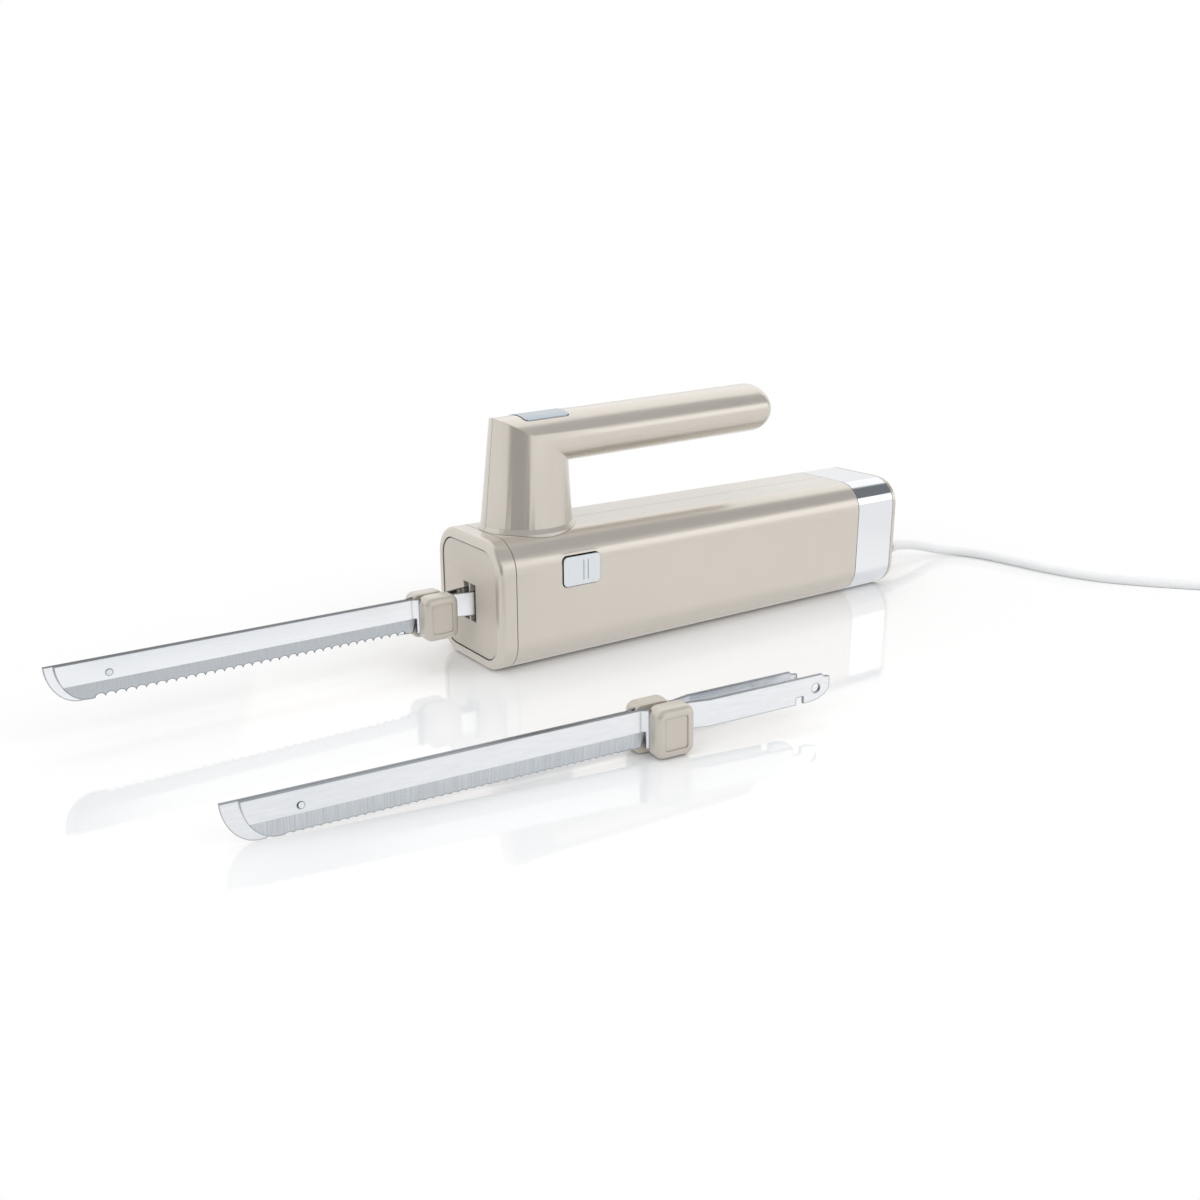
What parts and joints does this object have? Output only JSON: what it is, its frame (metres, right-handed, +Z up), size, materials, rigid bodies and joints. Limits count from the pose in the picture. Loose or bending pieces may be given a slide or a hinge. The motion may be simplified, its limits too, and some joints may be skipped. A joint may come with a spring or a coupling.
{
  "type": "electric carving knife",
  "caption": "Mains-powered carving knife: box body with a chrome band, raised tilted grip, twin reciprocating serrated blades, loose second blade pair and a coiled lead with plug.",
  "frame": {"origin": "centre of the flat underside of the body, on which the knife rests", "axes": "+X from the blade tips towards the rear face and the lead, +Z up, -Y is the knife's own left side, which faces the camera"},
  "size_m": [0.7988, 0.2488, 0.1281],
  "materials": {
    "taupe_plastic": "satin",
    "hub_plastic": "satin",
    "satin_silver": "satin metallised",
    "polished_chrome": "polished",
    "blade_steel": "ground and brushed",
    "steel": "satin",
    "spring_steel": "drawn wire",
    "bearing_bronze": "machined",
    "copper": "enamelled wire",
    "brass": "stamped",
    "laminated_steel": "stacked laminations",
    "acetal": "moulded",
    "black_nylon": "moulded",
    "carbon": "pressed carbon",
    "board": "laminate",
    "orange_film": "dipped",
    "white_cord": "satin",
    "white_plastic": "satin",
    "brown_lead": "satin",
    "black_lead": "satin",
    "nickel": "plated"
  },
  "bodies": {
    "body": {"housing_left": "taupe_plastic", "housing_right": "taupe_plastic", "front_cap": "taupe_plastic", "front_plate": "taupe_plastic", "rear_cap": "taupe_plastic", "handle_left": "taupe_plastic", "handle_right": "taupe_plastic", "rear_chrome_band": "polished_chrome", "trigger_spring": "spring_steel", "release_spring_left": "spring_steel", "release_spring_right": "spring_steel", "brush_springs": "spring_steel", "power_switch": "black_nylon", "gear_frame": "black_nylon", "rear_frame": "black_nylon", "gear_axle": "steel", "housing_screws": "steel", "front_bearing": "bearing_bronze", "rear_bearing": "bearing_bronze", "motor_stator": "laminated_steel", "field_coils": "copper", "filter_choke": "copper", "brush_holders": "brass", "carbon_brushes": "carbon", "filter_board": "board", "filter_capacitor": "orange_film", "terminal_block": "white_plastic", "switch_leads": "black_lead", "mains_leads": "brown_lead", "strain_relief": "white_cord", "cord_tube": "white_cord", "cord_coil": "white_cord", "plug_body": "white_cord", "coil_tie": "white_plastic", "plug_pins": "nickel"},
    "trigger": {"trigger_button": "satin_silver"},
    "release_left": {"release_button_left": "satin_silver"},
    "release_right": {"release_button_right": "satin_silver"},
    "armature": {"motor_shaft": "steel", "worm": "steel", "armature_core": "laminated_steel", "armature_winding": "copper", "commutator": "copper", "cooling_fan": "black_nylon"},
    "gear": {"drive_gear": "acetal"},
    "carrier_left": {"carrier_left": "acetal", "latch_spring_left": "spring_steel"},
    "carrier_right": {"carrier_right": "acetal", "latch_spring_right": "spring_steel"},
    "blade_left": {"blade_left": "blade_steel", "hub_left": "hub_plastic", "tip_rivet": "steel"},
    "blade_right": {"blade_right": "blade_steel", "hub_right": "hub_plastic"},
    "spare_left": {"spare_blade_left": "blade_steel", "spare_hub_left": "hub_plastic", "spare_rivet": "steel"},
    "spare_right": {"spare_blade_right": "blade_steel", "spare_hub_right": "hub_plastic"}
  },
  "joints": [
    {"name": "trigger_press", "type": "slide", "parent": "body", "child": "trigger", "axis": [0, 0, -1], "range_m": [0, 0.0025], "stiffness_N_per_m": 900, "springref_m": -0.001, "deforming": ["trigger_spring"]},
    {"name": "release_left_press", "type": "slide", "parent": "body", "child": "release_left", "axis": [0, 1, 0], "range_m": [0, 0.003], "stiffness_N_per_m": 700, "springref_m": -0.001, "deforming": ["release_spring_left"]},
    {"name": "release_right_press", "type": "slide", "parent": "body", "child": "release_right", "axis": [0, -1, 0], "range_m": [0, 0.003], "stiffness_N_per_m": 700, "springref_m": -0.001, "deforming": ["release_spring_right"]},
    {"name": "armature_turn", "type": "hinge", "parent": "body", "child": "armature", "pos_m": [0.005, 0, 0.0335], "axis": [1, 0, 0], "continuous": true},
    {"name": "gear_turn", "type": "hinge", "parent": "body", "child": "gear", "pos_m": [-0.057, 0, 0.0195], "axis": [0, 1, 0], "continuous": true},
    {"name": "carrier_left_stroke", "type": "slide", "parent": "body", "child": "carrier_left", "axis": [1, 0, 0], "range_m": [-0.0041, 0.0019]},
    {"name": "carrier_right_stroke", "type": "slide", "parent": "body", "child": "carrier_right", "axis": [1, 0, 0], "range_m": [-0.0019, 0.0041]},
    {"name": "blade_left_pull", "type": "slide", "parent": "carrier_left", "child": "blade_left", "axis": [-1, 0, 0], "range_m": [0, 0.088], "deforming": ["latch_spring_left"]},
    {"name": "blade_right_pull", "type": "slide", "parent": "carrier_right", "child": "blade_right", "axis": [-1, 0, 0], "range_m": [0, 0.088], "deforming": ["latch_spring_right"]},
    {"name": "spare_lift", "type": "slide", "parent": "body", "child": "spare_left", "axis": [0, 0, 1], "range_m": [0, 0.1]},
    {"name": "spare_slide", "type": "slide", "parent": "spare_left", "child": "spare_right", "axis": [0.9912, -0.1305, 0.0236], "range_m": [-0.0008, 0.008]}
  ],
  "couplings": [
    {"joint": "gear_turn", "follows": "armature_turn", "ratio": -0.05},
    {"joint": "carrier_right_stroke", "follows": "carrier_left_stroke", "ratio": -1},
    {"joint": "blade_right_pull", "follows": "blade_left_pull", "ratio": 1}
  ]
}
